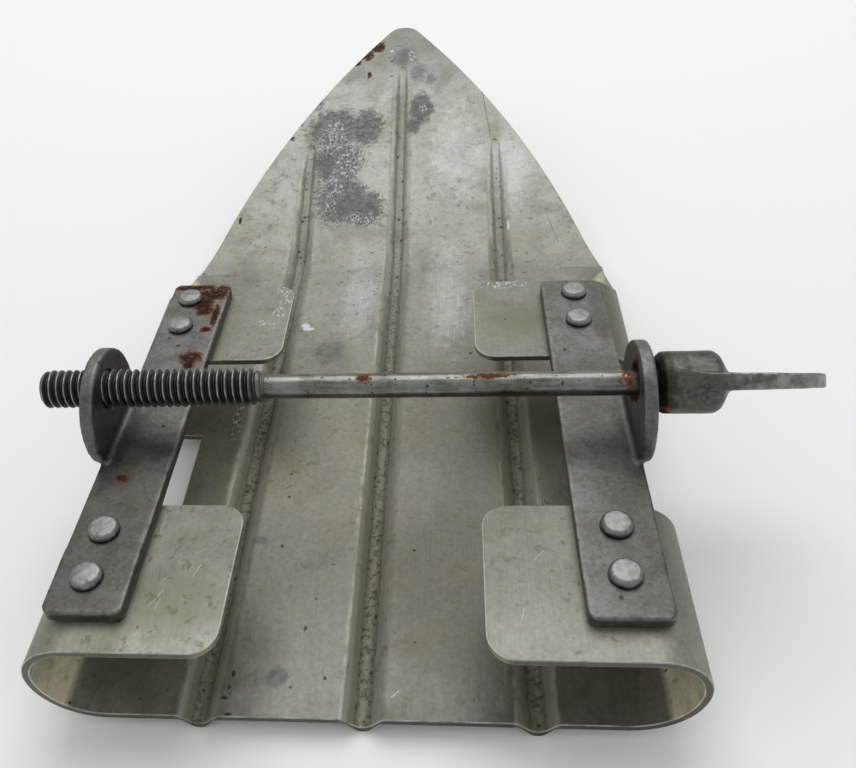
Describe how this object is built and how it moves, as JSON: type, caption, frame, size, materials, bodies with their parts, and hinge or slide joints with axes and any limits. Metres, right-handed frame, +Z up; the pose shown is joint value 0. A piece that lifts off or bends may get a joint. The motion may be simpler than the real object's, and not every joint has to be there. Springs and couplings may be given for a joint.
{
  "type": "clamp-on sad iron sole plate",
  "caption": "Boat-shaped ribbed aluminium sole plate with rolled tabs and riveted straps, drawn tight around a sad iron by a cross screw with a thumb blade.",
  "frame": {"origin": "on the crest of the middle rib, directly under the clamp screw", "axes": "+X to the screw's thumb head, +Y from the heel towards the raised toe, +Z up from the face that rests on the cloth"},
  "size_m": [0.1233, 0.2019, 0.036],
  "materials": {
    "sheet": "dull, brushed fore and aft, pitted in the grooves",
    "strap": "dark mill steel with rust spots",
    "rivet": "peened bright",
    "screw": "dark oiled steel, rubbed bright along the shank",
    "head": "forged, dark, worn bright on the blade"
  },
  "bodies": {
    "plate": {"sole_sheet": "sheet", "left_strap": "strap", "right_strap": "strap", "rivet_left_1": "rivet", "rivet_left_2": "rivet", "rivet_left_3": "rivet", "rivet_left_4": "rivet", "rivet_right_1": "rivet", "rivet_right_2": "rivet", "rivet_right_3": "rivet", "rivet_right_4": "rivet"},
    "screw_slide": {"screw_shank": "screw"},
    "screw_spin": {"threaded_end": "screw", "thumb_head": "head"}
  },
  "joints": [
    {"name": "screw_travel", "type": "slide", "parent": "plate", "child": "screw_slide", "axis": [1, 0, 0], "range_m": [0, 0.00826]},
    {"name": "screw_turn", "type": "hinge", "parent": "screw_slide", "child": "screw_spin", "pos_m": [0, 0, 0.03005], "axis": [1, 0, 0], "range_deg": [0, 2340]}
  ],
  "couplings": [
    {"joint": "screw_travel", "follows": "screw_turn", "m_per_rad": 0.00020213}
  ]
}
